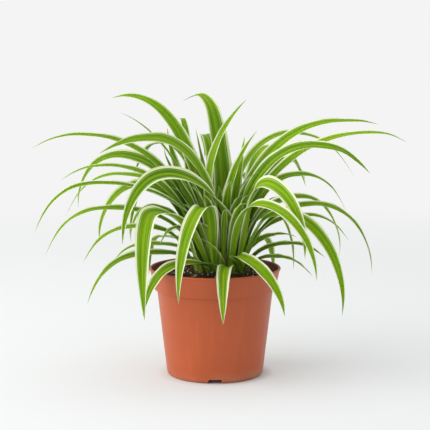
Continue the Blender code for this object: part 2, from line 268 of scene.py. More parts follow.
def new_group(name, inputs, outputs, kind="ShaderNodeTree"):
    """A node group with named sockets; each input is (name, kind, default)."""
    tree = bpy.data.node_groups.new(name, kind)
    for label, socket_type, default in inputs:
        socket = tree.interface.new_socket(label, in_out="INPUT", socket_type=socket_type)
        if default is not None:
            socket.default_value = default
    for label, socket_type in outputs:
        tree.interface.new_socket(label, in_out="OUTPUT", socket_type=socket_type)
    entry = tree.nodes.new("NodeGroupInput")
    leave = tree.nodes.new("NodeGroupOutput")
    return tree, entry.outputs, leave.inputs


def once(title):
    """Make a node group only once; later calls find it by its title."""
    def keep(make):
        return lambda: bpy.data.node_groups.get(title) or make(title)
    return keep


FLOAT, COLOUR, WHOLE = "NodeSocketFloat", "NodeSocketColor", "NodeSocketInt"
GEOMETRY, FINISH = "NodeSocketGeometry", "NodeSocketMaterial"


@once("Fine grain")
def grain_group(title):
    """Fine uneven tone and a matching height, for moulded, earthy and woody surfaces."""
    tree, given, out = new_group(
        title,
        [("Colour", COLOUR, (0.5, 0.5, 0.5, 1.0)), ("Grain size", FLOAT, 0.001),
         ("Patch size", FLOAT, 0.02), ("Grain", FLOAT, 0.2), ("Patches", FLOAT, 0.2)],
        [("Colour", COLOUR), ("Mask", FLOAT), ("Height", FLOAT)])
    place = node(tree, "ShaderNodeTexCoord").outputs["Object"]
    fine = maths(tree, "DIVIDE", 1.0, given["Grain size"])
    broad = maths(tree, "DIVIDE", 1.0, given["Patch size"])
    grains = mottle(tree, place, fine, 3.0, 0.6)
    patches = mottle(tree, place, broad, 4.0, 0.55)
    light = varied(tree, grains, given["Grain"], 1.0)
    tone = maths(tree, "ADD", light, varied(tree, patches, given["Patches"], 0.0))
    tree.links.new(toned(tree, given["Colour"], tone), out["Colour"])
    tree.links.new(patches, out["Mask"])
    tree.links.new(grains, out["Height"])
    return tree


@once("Striped blade")
def blade_group(title):
    """The striped pattern of a blade: cream margins, green body, paler streak, fine veins."""
    tree, given, out = new_group(
        title,
        [("Deep", COLOUR, None), ("Fresh", COLOUR, None), ("Streak", COLOUR, None),
         ("Cream", COLOUR, None), ("Base", COLOUR, None), ("Margin", FLOAT, 0.7),
         ("Vein count", FLOAT, 15.0), ("Vein depth", FLOAT, 0.16), ("Wash", FLOAT, 0.0)],
        [("Colour", COLOUR), ("Height", FLOAT), ("Roughness", FLOAT)])
    lie = node(tree, "ShaderNodeUVMap", uv_map="blade").outputs[0]
    parts = node(tree, "ShaderNodeSeparateXYZ", {0: lie}).outputs
    across, along = parts[0], parts[1]
    tone = node(tree, "ShaderNodeAttribute", attribute_name="tone").outputs["Fac"]
    shift = node(tree, "ShaderNodeAttribute", attribute_name="shift").outputs["Fac"]
    off = maths(tree, "ABSOLUTE", maths(tree, "MULTIPLY_ADD", across, 2.0, -1.0))
    place = vector(tree, across, along, shift)
    streaks = mottle(tree, stretched(tree, place, (9.0, 2.2, 40.0)), 1.6, 3.0, 0.6)
    fine = mottle(tree, stretched(tree, place, (34.0, 3.0, 17.0)), 1.4, 2.0)
    edge = varied(tree, streaks, 0.22, off)
    start = varied(tree, shift, 0.10, given["Margin"])
    start = maths(tree, "ADD", start, ramp(tree, along, 0.45, 0.04, 0.0, 0.24))
    past = maths(tree, "SUBTRACT", edge, start)
    margin = ramp(tree, past, 0.0, 0.06)
    thread = times(tree, ramp(tree, past, -0.16, -0.10),
                   ramp(tree, past, -0.07, -0.11))
    middle = ramp(tree, edge, 0.26, 0.02)
    wave = maths(tree, "SINE", maths(tree, "MULTIPLY_ADD", across,
                                     times(tree, given["Vein count"], 2 * pi),
                                     times(tree, fine, 3.0)))
    vein = maths(tree, "MULTIPLY_ADD", wave, 0.5, 0.5)
    green = blend(tree, tone, given["Deep"], given["Fresh"])
    green = blend(tree, ramp(tree, fine, 0.44, 0.66, 0.0, 0.55), green, given["Streak"])
    green = blend(tree, times(tree, middle, 0.50), green, given["Streak"])
    green = blend(tree, times(tree, thread, 0.45), green, given["Cream"])
    striped = blend(tree, margin, green, given["Cream"])
    pale = times(tree, ramp(tree, along, 0.08, 0.0), 0.4)
    based = blend(tree, pale, striped, given["Base"])
    washed = blend(tree, given["Wash"], based, given["Base"])
    dark = maths(tree, "SUBTRACT", 1.0, times(tree, vein, given["Vein depth"]))
    tree.links.new(toned(tree, washed, dark), out["Colour"])
    midrib = ramp(tree, off, 0.09, 0.0)
    tree.links.new(maths(tree, "MULTIPLY_ADD", midrib, -0.8, vein), out["Height"])
    tree.links.new(ramp(tree, streaks, 0.3, 0.7, 0.34, 0.50), out["Roughness"])
    return tree


def new_material(name, **values):
    """A Principled material; values are set on the shader's own sockets."""
    material = bpy.data.materials.new(name)
    material.use_nodes = True
    tree = material.node_tree
    shader = tree.nodes["Principled BSDF"]
    for key, value in values.items():
        shader.inputs[key.replace("_", " ")].default_value = value
    return material, tree, shader


def dress(tree, shader, shown, rough, height, strength, distance):
    """Lead a colour, a roughness and a raised height into a shader."""
    bump = node(tree, "ShaderNodeBump", {"Height": height, "Strength": strength,
                                         "Distance": distance}).outputs[0]
    for key, value in (("Base Color", shown), ("Roughness", rough), ("Normal", bump)):
        tree.links.new(value, shader.inputs[key])


def grained(tree, base, grain_size, patch_size, grain, patches):
    """The fine grain with its values set."""
    return node(tree, "ShaderNodeGroup", {
        "Colour": (*base, 1), "Grain size": grain_size, "Patch size": patch_size,
        "Grain": grain, "Patches": patches}, node_tree=grain_group()).outputs


def blade_material(name, settings, wash, vein_depth, tint=None):
    """The striped finish; the underside is the same pattern washed towards a matt tint."""
    material, tree, shader = new_material(name, Subsurface_Weight=0.45, Subsurface_Scale=0.001,
                                          Specular_IOR_Level=0.07)
    shader.inputs["Subsurface Radius"].default_value = (0.6, 1.0, 0.15)
    striped = node(tree, "ShaderNodeGroup", {
        "Deep": (*settings.deep_green, 1), "Fresh": (*settings.fresh_green, 1),
        "Streak": (*settings.streak, 1), "Cream": (*settings.cream, 1),
        "Base": (*(tint or settings.pale_base), 1), "Margin": settings.margin,
        "Vein depth": vein_depth, "Wash": wash}, node_tree=blade_group()).outputs
    dress(tree, shader, striped["Colour"], striped["Roughness"], striped["Height"], 0.35, 0.3 * MM)
    return material


def grain_material(name, base, grain_size, patch_size, grain, patches, roughness, relief,
                   **values):
    """A finish made of one colour broken by grains and patches."""
    material, tree, shader = new_material(name, **values)
    surface = grained(tree, base, grain_size, patch_size, grain, patches)
    rough = ramp(tree, surface["Mask"], 0.3, 0.7, *roughness)
    dress(tree, shader, surface["Colour"], rough, surface["Height"], 0.5, relief)
    return material


# ---------------------------------------------------------------- mesh helpers


def link(obj):
    bpy.context.scene.collection.objects.link(obj)
    return obj


def mesh_object(name, verts, faces, materials):
    """An object made of points and of faces that number them."""
    mesh = bpy.data.meshes.new(name)
    mesh.from_pydata([tuple(v) for v in verts], [], [tuple(f) for f in faces])
    for material in materials:
        mesh.materials.append(material)
    return link(bpy.data.objects.new(name, mesh))


def object_of(bm, name, materials=()):
    """An object made of a built mesh, which is used up."""
    mesh = bpy.data.meshes.new(name)
    bm.to_mesh(mesh)
    bm.free()
    for material in materials:
        mesh.materials.append(material)
    return link(bpy.data.objects.new(name, mesh))


def ring_at(radius, height, segments):
    """Points round the Z axis at one height."""
    angles = [2 * pi * j / segments for j in range(segments)]
    return [(radius * cos(a), radius * sin(a), height) for a in angles]


def face_outwards(bm, mesh):
    """Turn a built mesh's faces outwards and keep it as an object's mesh."""
    bmesh.ops.recalc_face_normals(bm, faces=bm.faces)
    bm.to_mesh(mesh)
    bm.free()


def plain_mesh(obj):
    """Turn the evaluated object into a plain mesh and drop its modifiers."""
    evaluated = obj.evaluated_get(bpy.context.evaluated_depsgraph_get())
    mesh = bpy.data.meshes.new_from_object(evaluated)
    obj.modifiers.clear()
    obj.data = mesh
    return obj


def hand_over(piece, slot_name, *nodes):
    """Make a piece ride on the body and stand for CAD nodes, which it hides; slot_name is not used."""
    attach(piece, BODY)
    if nodes:
        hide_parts(*nodes)


def between(low, high, value):
    """A smooth step from 0 at low to 1 at high."""
    t = np.clip((value - low) / (high - low), 0.0, 1.0)
    return t * t * (3 - 2 * t)


# ---------------------------------------------------------------- blades

BLADE_SHARP = radians(80)
TIP_SHARE = 0.02  # width left at a blade's very tip
FOLD_OPEN, FOLD_SHUT = 1.25, 0.5  # how round the channel is at the base, and how it sharpens
TIP_THINNER = 0.45  # share of the thickness lost towards the tip
EDGE_THINNER = 0.75  # share of the thickness lost towards a margin
WAVE_TURNS = (34, 9)  # radians of the margin's waves along a blade, and their variation
ROCK_TURNS = (5, 3)  # the same for its rocking
FULL_WAVE_HALF = 3 * MM  # half width from which the waves are full
FULL_THICK_HALF = 1.5 * MM  # half width from which the thickness is full
SHOOT_WIDTH, SHOOT_FOLD = 0.8, 2.0  # the young shoot is narrower and more folded
SHOOT_SEED, INNER_SEEDS = 91, 200  # seeds of the shoot and of the first small blade

# Ranges for the small inner blades, in millimetres.
INNER_SEAT = (4, 19)  # from the crown's middle to a blade's base
INNER_REACH = (16, 50)  # outwards
INNER_RISE = (34, 92)  # upwards
INNER_DROP = (-6, 10)  # of the tip below the rise
INNER_HALF = (2.6, 4.6)  # half of the width
INNER_DEPTH = 2 * MM  # how deep a base sits in the crown
INNER_ROWS = 10  # rows of points along a small blade


def rings_of(node_name):
    """A packed blade's rings of four points, from its base to its tip, and the tip."""
    bm = bmesh.new()
    bm.from_mesh(frame["nodes"][node_name].data)
    bmesh.ops.remove_doubles(bm, verts=bm.verts, dist=1e-6)
    bm.verts.index_update()
    for tip in bm.verts:
        rings, seen, edge = [], {tip}, [tip]
        while edge:
            beyond = {e.other_vert(v) for v in edge for e in v.link_edges} - seen
            edge = sorted(beyond, key=lambda vert: vert.index)
            seen.update(edge)
            if edge:
                rings.append([np.array(v.co) for v in edge])
        if all(len(ring) == 4 for ring in rings):
            break
    else:
        raise RuntimeError(f"{node_name} isn't made of rings of four points")
    point = np.array(tip.co)
    bm.free()
    return rings[::-1], point


def spine_of(node_name):
    """A packed blade as rows of middle, half side vector and upward fold vector."""
    rings, tip = rings_of(node_name)
    middles, sides, folds = [], [], []
    for ring in rings:
        pairs = [(np.linalg.norm(ring[i] - ring[j]), i, j) for i in range(4) for j in range(i)]
        _, a, b = max(pairs)
        rest = [k for k in range(4) if k not in (a, b)]
        side = (ring[a] - ring[b]) / 2
        if sides and np.dot(side, sides[-1]) < 0:
            side = -side
        margin = (ring[a] + ring[b]) / 2
        keel = (ring[rest[0]] + ring[rest[1]]) / 2
        middles.append((margin + keel) / 2)
        sides.append(side)
        folds.append((margin - keel) / 2)
    middles.append(tip)
    sides.append(sides[-1] * TIP_SHARE)
    folds.append(folds[-1] * TIP_SHARE)
    return np.array(middles), np.array(sides), np.array(folds)


def drawn_out(rows, steps):
    """Points at even steps on a smooth curve through rows of points."""
    last = len(rows) - 1
    ahead = 2 * rows[-1] - rows[-2]
    behind = 2 * rows[0] - rows[1]
    padded = np.vstack([behind, rows, ahead])
    points = []
    for at in np.linspace(0, last, steps):
        k = min(int(at), last - 1)
        t = at - k
        a, b, c, d = padded[k:k + 4]
        points.append(0.5 * (2 * b + (c - a) * t + (2 * a - 5 * b + 4 * c - d) * t * t
                             + (3 * b - a - 3 * c + d) * t ** 3))
    return np.array(points)


def blade(name, middles, sides, folds, settings, materials, seed):
    """A fine closed blade: a rounded channel with waved margins along a smooth spine."""
    rng = np.random.default_rng(seed)
    phases = rng.uniform(0, 2 * pi, 4)
    tone, shift = rng.uniform(0, 1, 2)
    steps, strips = settings.steps, settings.strips
    spine = drawn_out(middles, steps)
    side = drawn_out(sides, steps)
    fold = drawn_out(folds, steps)
    run = np.gradient(spine, axis=0)
    run /= np.linalg.norm(run, axis=1)[:, None]
    spine[0] -= run[0] * settings.root_depth
    half = np.linalg.norm(side, axis=1)
    side /= half[:, None]
    up = np.cross(run, side)
    up /= np.linalg.norm(up, axis=1)[:, None]
    lift = np.einsum("ij,ij->i", fold, up)
    along = np.linspace(0, 1, steps)
    sway = np.sin(phases[0] + along * (ROCK_TURNS[0] + ROCK_TURNS[1] * shift))
    rock = settings.twist * sway * between(0.1, 0.5, along)
    turned = side * np.cos(rock)[:, None] + up * np.sin(rock)[:, None]
    up = up * np.cos(rock)[:, None] - side * np.sin(rock)[:, None]
    side = turned
    offsets = np.linspace(-1, 1, strips + 1)
    verts, ring_size = [], 2 * strips
    for k in range(steps - 1):
        wave = settings.ripple * between(0.15, 0.5, along[k]) * min(1.0, half[k] / FULL_WAVE_HALF)
        crease = FOLD_OPEN + FOLD_SHUT * along[k]
        thick = settings.thickness * (1 - TIP_THINNER * along[k])
        thick *= min(1.0, half[k] / FULL_THICK_HALF)
        top, low = [], []
        for a in offsets:
            rise = lift[k] * (2 * abs(a) ** crease - 1)
            phase = phases[1] if a < 0 else phases[2]
            turns = along[k] * (WAVE_TURNS[0] + WAVE_TURNS[1] * shift)
            rise += wave * abs(a) ** 3 * sin(phase + turns)
            at = spine[k] + side[k] * half[k] * a + up[k] * rise
            body = thick * (1 - EDGE_THINNER * a * a) / 2
            top.append(at + up[k] * body)
            low.append(at - up[k] * body)
        edges = [(top[0] + low[0]) / 2, (top[-1] + low[-1]) / 2]
        verts += [edges[0], *top[1:-1], edges[1], *low[-2:0:-1]]
    verts.append(spine[-1])
    tip = len(verts) - 1
    faces = []
    for k in range(steps - 2):
        for j in range(ring_size):
            a, b = k * ring_size + j, k * ring_size + (j + 1) % ring_size
            faces.append((a, b, b + ring_size, a + ring_size))
    last = (steps - 2) * ring_size
    faces += [(last + j, last + (j + 1) % ring_size, tip) for j in range(ring_size)]
    faces.append(tuple(range(ring_size - 1, -1, -1)))
    obj = mesh_object(name, verts, faces, materials)
    across = np.concatenate([offsets, offsets[-2:0:-1]]) / 2 + 0.5
    finish_blade(obj, across, along, ring_size, tone, shift)
    return obj


def finish_blade(obj, across, along, ring_size, tone, shift):
    """Face the blade outwards, lay its map and mark its two sides."""
    mesh = obj.data
    half_ring = ring_size // 2
    lie = mesh.uv_layers.new(name="blade")
    tip = len(mesh.vertices) - 1
    for face in mesh.polygons:
        ring_places = [v % ring_size for v in face.vertices if v != tip]
        middle_face = sum(sorted(ring_places)[:2]) / 2
        wraps = 0 in ring_places and max(ring_places) > half_ring
        face.material_index = 1 if wraps or middle_face >= half_ring else 0
        for corner in face.loop_indices:
            vert = mesh.loops[corner].vertex_index
            if vert == tip:
                u = sum(across[p] for p in ring_places) / len(ring_places)
                lie.data[corner].uv = (u, 1.0)
            else:
                lie.data[corner].uv = (across[vert % ring_size], along[vert // ring_size])
    for label, value in (("tone", tone), ("shift", shift)):
        layer = mesh.attributes.new(label, "FLOAT", "POINT")
        layer.data.foreach_set("value", [value] * len(mesh.vertices))
    bm = bmesh.new()
    bm.from_mesh(mesh)
    face_outwards(bm, mesh)
    mesh.shade_smooth()
    mesh.set_sharp_from_angle(angle=BLADE_SHARP)


class SPIDERPLANT_OT_blades(bpy.types.Operator):
    """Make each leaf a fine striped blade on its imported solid"""

    bl_idname = "spiderplant.blades"
    bl_label = "Leaf blades"

    def execute(self, context):
        settings = context.scene.spider_plant.blades
        materials = blade_finishes(settings)
        names = sorted(name for name in frame["nodes"] if name.startswith("leaf_"))
        for seed, name in enumerate(names):
            middles, sides, folds = spine_of(name)
            piece = blade(name.replace("leaf", "blade"), middles, sides, folds, settings,
                          materials, seed)
            hand_over(piece, "leaf_blade", name)
        return {"FINISHED"}


def blade_finishes(settings):
    """The upper and the lower finish, made once."""
    upper = bpy.data.materials.get("blade_upper")
    if upper:
        return [upper, bpy.data.materials["blade_under"]]
    return [blade_material("blade_upper", settings, 0.0, 0.22),
            blade_material("blade_under", settings, 0.22, 0.20, settings.underside)]


class SPIDERPLANT_OT_shoot(bpy.types.Operator):
    """Make the young shoot, still rolled and pale"""

    bl_idname = "spiderplant.shoot"
    bl_label = "Young shoot"

    def execute(self, context):
        settings = context.scene.spider_plant.blades
        middles, sides, folds = spine_of("young_shoot_01")
        finish = blade_material("shoot_bract", settings, 0.75, 0.25, settings.bract)
        piece = blade("young_shoot", middles, sides * SHOOT_WIDTH, folds * SHOOT_FOLD, settings,
                      [finish, finish], SHOOT_SEED)
        hand_over(piece, "leaf_blade", "young_shoot_01")
        return {"FINISHED"}


def inner_spine(rng, index, total):
    """A small blade that springs from the crown and bends outwards."""
    angle = 2 * pi * (index + rng.uniform(-0.3, 0.3)) / total
    out = np.array([cos(angle), sin(angle), 0.0])
    seat = rng.uniform(*INNER_SEAT) * MM
    base = np.array([CROWN_MIDDLE.x, CROWN_MIDDLE.y, CROWN_HIGH.z]) + out * seat
    base[2] -= INNER_DEPTH
    reach = rng.uniform(*INNER_REACH) * MM
    rise = rng.uniform(*INNER_RISE) * MM
    drop = rng.uniform(*INNER_DROP) * MM
    tip = base + out * reach + np.array([0, 0, rise - drop])
    bend = base + out * reach * 0.35 + np.array([0, 0, rise * 1.05])
    t = np.linspace(0, 1, INNER_ROWS)[:, None]
    middles = base * (1 - t) ** 2 + bend * 2 * t * (1 - t) + tip * t * t
    level = np.array([-sin(angle), cos(angle), 0.0])
    half = rng.uniform(*INNER_HALF) * MM * (0.55 + 0.45 * between(0, 0.4, t))
    half = half * (1 - between(0.45, 1.0, t) * 0.97)
    run = np.gradient(middles, axis=0)
    run /= np.linalg.norm(run, axis=1)[:, None]
    up = np.cross(run, np.tile(level, (INNER_ROWS, 1)))
    up *= -np.sign(up @ out)[:, None]
    return middles, level * half, up * half * (0.45 - 0.3 * t)


def solid_tree(obj):
    """A piece's faces in a search tree, to find where it meets another piece."""
    bm = bmesh.new()
    bm.from_mesh(obj.data)
    tree = BVHTree.FromBMesh(bm)
    bm.free()
    return tree


class SPIDERPLANT_OT_inner(bpy.types.Operator):
    """Fill the middle of the rosette with small blades"""

    bl_idname = "spiderplant.inner"
    bl_label = "Inner blades"

    def execute(self, context):
        settings = context.scene.spider_plant.blades
        materials = blade_finishes(settings)
        rng = np.random.default_rng(settings.inner_seed)
        total = settings.inner_blades
        taken = [solid_tree(obj) for obj in context.scene.objects
                 if obj.name.startswith("blade_") or obj.name == "young_shoot"]
        made = []
        for k in range(total):
            piece, tree = self.roomiest(rng, k, settings, materials, taken)
            made.append(piece)
            taken.append(tree)
        with context.temp_override(active_object=made[0], selected_editable_objects=made):
            bpy.ops.object.join()
        made[0].name = "inner_blades"
        hand_over(made[0], "leaf_blade")
        return {"FINISHED"}

    def roomiest(self, rng, index, settings, materials, taken):
        """Of several tries at one small blade, the one that meets its neighbours least."""
        best, best_tree, fewest = None, None, None
        for _ in range(settings.inner_tries):
            rows = inner_spine(rng, index, settings.inner_blades)
            piece = blade(f"inner_{index}", *rows, settings, materials, INNER_SEEDS + index)
            tree = solid_tree(piece)
            meets = sum(len(tree.overlap(other)) for other in taken)
            worse = piece
            if best is None or meets < fewest:
                worse = best
                best, best_tree, fewest = piece, tree, meets
            if worse:
                bpy.data.objects.remove(worse)
            if fewest == 0:
                break
        return best, best_tree


# ---------------------------------------------------------------- crown and soil


SOIL_EDGE_DROP = 3 * MM  # how far the mix sinks at the wall
SOIL_MOUND = 4.6 * MM  # how far it rises round the crown
SOIL_GAP = 0.5 * MM  # between the mix and the wall
ANY_TURN = 6.28  # radians; nearly a full turn


def rough_disc(name, rings, segments, radius, height, materials):
    """A disc of rings about the Z axis whose height comes from a function of (x, y)."""
    verts = [(0.0, 0.0, height(0.0, 0.0))]
    for k in range(1, rings + 1):
        flat = ring_at(radius * k / rings, 0.0, segments)
        verts += [(x, y, height(x, y)) for x, y, _ in flat]
    faces = [(0, 1 + j, 1 + (j + 1) % segments) for j in range(segments)]
    for k in range(rings - 1):
        a, b = 1 + k * segments, 1 + (k + 1) * segments
        for j in range(segments):
            n = (j + 1) % segments
            faces.append((a + j, b + j, b + n, a + n))
    obj = mesh_object(name, verts, faces, materials)
    obj.data.shade_smooth()
    return obj


def close_below(obj, segments, profile):
    """Carry a disc's last ring down a profile of (radius, height) and close it."""
    bm = bmesh.new()
    bm.from_mesh(obj.data)
    bm.verts.ensure_lookup_table()
    ring = bm.verts[-segments:]
    for radius, height in profile:
        lower = [bm.verts.new(point) for point in ring_at(radius, height, segments)]
        for j in range(segments):
            n = (j + 1) % segments
            bm.faces.new((ring[j], lower[j], lower[n], ring[n]))
        ring = lower
    bm.faces.new(reversed(ring))
    face_outwards(bm, obj.data)


def soil_height(lumps):
    """The soil's top: a low dome, lumpy, that sinks a little at the wall."""
    edge = SOIL_HIGH.z - SOIL_EDGE_DROP
    radius = POT_HIGH.x

    def height(x, y):
        far = (x * x + y * y) ** 0.5 / radius
        dome = edge + SOIL_EDGE_DROP * cos(min(far, 1.0) * pi / 2) ** 2
        near = ((x - CROWN_MIDDLE.x) ** 2 + (y - CROWN_MIDDLE.y) ** 2) ** 0.5
        dome += SOIL_MOUND * between(40 * MM, 10 * MM, near)
        broad = noise.noise(Vector((x, y, 0.3)) * 90)
        fine = noise.noise(Vector((x, y, 1.7)) * 320)
        return dome + lumps * (0.7 * broad + 0.45 * fine)

    return height


def build_soil_mass(settings):
    """The body of potting mix, rough on top, clear of the pot's wall."""
    finish = grain_material("peat_mix", settings.peat, 1.1 * MM, 9 * MM, 1.3, 0.9, (0.85, 0.98),
                            1.2 * MM, Specular_IOR_Level=0.2)
    pot = bpy.context.scene.spider_plant.pot
    top = SOIL_HIGH.z - SOIL_EDGE_DROP
    gap = SOIL_GAP
    step = POT_HIGH.z - pot.band
    edge = SOIL_HIGH.x
    soil = rough_disc("potting_mix", 60, 180, edge, soil_height(settings.lumps), [finish])
    narrow = pot.body_top - pot.wall - gap
    floor = SOIL_LOW.z
    foot = pot.base + (pot.body_top - pot.base) * floor / step - pot.wall - gap
    close_below(soil, 180, [(edge, top - 2 * MM), (pot.band_foot - pot.wall - gap, step + 2 * MM),
                            (narrow, step - 2 * MM), (foot, floor)])
    return soil


def strewing_tree(name, sizes):
    """The start of a tree that strews pieces over a surface's upward faces."""
    tree, given, out = new_group(
        name,
        [("Geometry", GEOMETRY, None), *((label, FLOAT, default) for label, default in sizes),
         ("Seed", WHOLE, 1), ("Material", FINISH, None)],
        [("Geometry", GEOMETRY)], "GeometryNodeTree")
    normal = node(tree, "GeometryNodeInputNormal").outputs[0]
    upward = node(tree, "ShaderNodeSeparateXYZ", {0: normal}).outputs[2]
    chosen = node(tree, "FunctionNodeCompare", {0: upward, 1: 0.4}, data_type="FLOAT",
                  operation="GREATER_THAN").outputs[0]
    spots = node(tree, "GeometryNodeDistributePointsOnFaces",
                 {"Mesh": given["Geometry"], "Selection": chosen, "Density": given["Density"],
                  "Seed": given["Seed"]}).outputs["Points"]
    return tree, given, out, spots


def copies_on(tree, spots, piece, turn, size):
    """A turned and scaled copy of a piece on every spot."""
    copies = node(tree, "GeometryNodeInstanceOnPoints",
                  {"Points": spots, "Instance": piece, "Rotation": turn, "Scale": size}).outputs[0]
    return node(tree, "GeometryNodeRealizeInstances", {0: copies}).outputs[0]


def finished(tree, pieces, given, out):
    """Give the strewn pieces their material and lead them out."""
    done = node(tree, "GeometryNodeSetMaterial", {0: pieces, "Material": given["Material"]})
    tree.links.new(done.outputs[0], out["Geometry"])
    return tree


@once("Strewn crumbs")
def crumb_tree(title):
    """Nodes that strew lumps, each an uneven ball, over a surface's upward faces."""
    tree, given, out, spots = strewing_tree(title, (
        ("Density", 50000.0), ("Smallest", 0.6 * MM), ("Largest", 1.8 * MM),
        ("Unevenness", 0.4), ("Flatness", 0.7)))
    ball = node(tree, "GeometryNodeMeshIcoSphere", {"Radius": 0.5, "Subdivisions": 2}).outputs["Mesh"]
    lumpy = node(tree, "ShaderNodeTexNoise", {"Scale": 2.3, "Detail": 2.0}).outputs["Fac"]
    bulge = times(tree, maths(tree, "SUBTRACT", lumpy, 0.5), given["Unevenness"])
    away = node(tree, "GeometryNodeInputNormal").outputs[0]
    push = node(tree, "ShaderNodeVectorMath", {0: away, "Scale": bulge}, operation="SCALE").outputs[0]
    stone = node(tree, "GeometryNodeSetPosition", {"Geometry": ball, "Offset": push}).outputs[0]
    flat = vector(tree, 1.0, 0.8, given["Flatness"])
    stone = node(tree, "GeometryNodeTransform", {"Geometry": stone, "Scale": flat}).outputs[0]
    turn = node(tree, "FunctionNodeRandomValue",
                {"Min": (0.0, 0.0, 0.0), "Max": (0.9, 0.9, ANY_TURN), "Seed": given["Seed"]},
                data_type="FLOAT_VECTOR").outputs[0]
    size = node(tree, "FunctionNodeRandomValue",
                {2: given["Smallest"], 3: given["Largest"], "Seed": given["Seed"]},
                data_type="FLOAT").outputs[1]
    return finished(tree, copies_on(tree, spots, stone, turn, size), given, out)


@once("Strewn fibres")
def fibre_tree(title):
    """Nodes that strew thin bent fibres over a surface's upward faces."""
    tree, given, out, spots = strewing_tree(title, (
        ("Density", 5000.0), ("Shortest", 3 * MM), ("Longest", 11 * MM),
        ("Radius", 0.16 * MM), ("Tilt", 0.35)))
    bow = node(tree, "GeometryNodeCurveArc", {"Resolution": 7, "Radius": 0.62,
                                              "Sweep Angle": 1.7}, mode="RADIUS").outputs[0]
    tilt = given["Tilt"]
    back = times(tree, tilt, -1.0)
    turn = node(tree, "FunctionNodeRandomValue",
                {0: vector(tree, back, back, 0.0), 1: vector(tree, tilt, tilt, ANY_TURN),
                 "Seed": given["Seed"]}, data_type="FLOAT_VECTOR").outputs[0]
    size = node(tree, "FunctionNodeRandomValue", {2: given["Shortest"], 3: given["Longest"]},
                data_type="FLOAT").outputs[1]
    curves = copies_on(tree, spots, bow, turn, size)
    section = node(tree, "GeometryNodeCurvePrimitiveCircle",
                   {"Resolution": 5, "Radius": given["Radius"]}).outputs[0]
    tubes = node(tree, "GeometryNodeCurveToMesh", {"Curve": curves, "Profile Curve": section,
                                                   "Fill Caps": True}).outputs[0]
    return finished(tree, tubes, given, out)


def strew(name, surface, tree, material, **inputs):
    """Strew a tree's pieces over a copy of a surface and keep them as a plain mesh."""
    obj = link(bpy.data.objects.new(name, surface.data.copy()))
    modifier = obj.modifiers.new("strew", "NODES")
    modifier.node_group = tree
    labels = {item.name: item.identifier for item in tree.interface.items_tree
              if item.in_out == "INPUT"}
    modifier[labels["Material"]] = material
    for key, value in inputs.items():
        modifier[labels[key]] = value
    plain_mesh(obj)
    obj.data.shade_smooth()
    return obj


class SPIDERPLANT_OT_soil(bpy.types.Operator):
    """Fill the pot with potting mix: its rough mass, crumbs, perlite and dry fibres"""

    bl_idname = "spiderplant.soil"
    bl_label = "Potting mix"

    def execute(self, context):
        settings = context.scene.spider_plant.soil
        soil = build_soil_mass(settings)
        litter_bed = rough_disc("litter_bed", 40, 120, SOIL_HIGH.x - 2.2 * MM,
                                soil_height(settings.lumps), [])
        bark = grain_material("bark_crumbs", settings.bark, 0.7 * MM, 4 * MM, 0.8, 1.5,
                              (0.75, 0.95), 0.5 * MM)
        grit = grain_material("perlite", settings.grit, 0.5 * MM, 3 * MM, 0.25, 0.5,
                              (0.7, 0.9), 0.4 * MM)
        straw = grain_material("dry_fibre", settings.straw, 0.6 * MM, 6 * MM, 0.5, 0.8,
                               (0.6, 0.8), 0.2 * MM)
        pieces = [
            strew("bark_crumbs", litter_bed, crumb_tree(), bark, Density=settings.crumbs,
                  Smallest=0.7 * MM, Largest=2.1 * MM, Seed=4, Unevenness=0.5, Flatness=0.6),
            strew("perlite_grains", litter_bed, crumb_tree(), grit, Density=settings.grains,
                  Smallest=0.9 * MM, Largest=2.2 * MM, Seed=9, Unevenness=0.7, Flatness=0.85),
            strew("dry_fibres", litter_bed, fibre_tree(), straw, Density=settings.fibres, Seed=6),
        ]
        bpy.data.objects.remove(litter_bed, do_unlink=True)
        hand_over(soil, "soil_mix", "soil")
        for piece in pieces:
            hand_over(piece, "soil_mix")
        return {"FINISHED"}


class SPIDERPLANT_OT_crown(bpy.types.Operator):
    """Make the crown: a low knobbly stock with the husks of old leaf bases"""

    bl_idname = "spiderplant.crown"
    bl_label = "Crown"

    def execute(self, context):
        husk = context.scene.spider_plant.blades.husk
        finish = grain_material("crown_stock", husk, 1.2 * MM, 8 * MM, 0.8, 1.1,
                                (0.7, 0.9), 0.8 * MM, Specular_IOR_Level=0.15)
        radius = (CROWN_HIGH.x - CROWN_LOW.x) / 2
        low, rise = CROWN_LOW.z, CROWN_HIGH.z - CROWN_LOW.z

        def height(x, y):
            far = (x * x + y * y) ** 0.5 / radius
            knobs = noise.noise(Vector((x, y, 4.1)) * 210)
            return low + rise * (0.3 + 0.7 * (1 - far * far)) + 0.9 * MM * knobs * (1 - far ** 4)

        crown = rough_disc("crown_stock", 26, 96, radius, height, [finish])
        close_below(crown, 96, [(radius * 0.96, low - 2 * MM)])
        crown.data.transform(Matrix.Translation((CROWN_MIDDLE.x, CROWN_MIDDLE.y, 0)))
        hand_over(crown, "crown_stock", "crown")
        return {"FINISHED"}


# ---------------------------------------------------------------- pot


DRAIN_RADIUS = 4.5 * MM
DRAIN_CIRCLE = 28 * MM  # radius of the circle that the drain holes lie on
NOTCH_TOP, NOTCH_FOOT = 10.5 * MM, 19.5 * MM  # a notch's width at its top and at the foot
NOTCH_HEIGHT = 3.8 * MM
LIP_PROUD = 0.9 * MM  # how far the lip stands out over the band
HEEL = 3 * MM  # rounding of the foot's outer edge
POT_SHARP = radians(32)


def corner(centre, radius, start, end, steps):
    """Points of (radius, height) round a corner, from start to end degrees."""
    angles = [radians(start + (end - start) * k / steps) for k in range(steps + 1)]
    return [(centre[0] + radius * cos(a), centre[1] + radius * sin(a)) for a in angles]


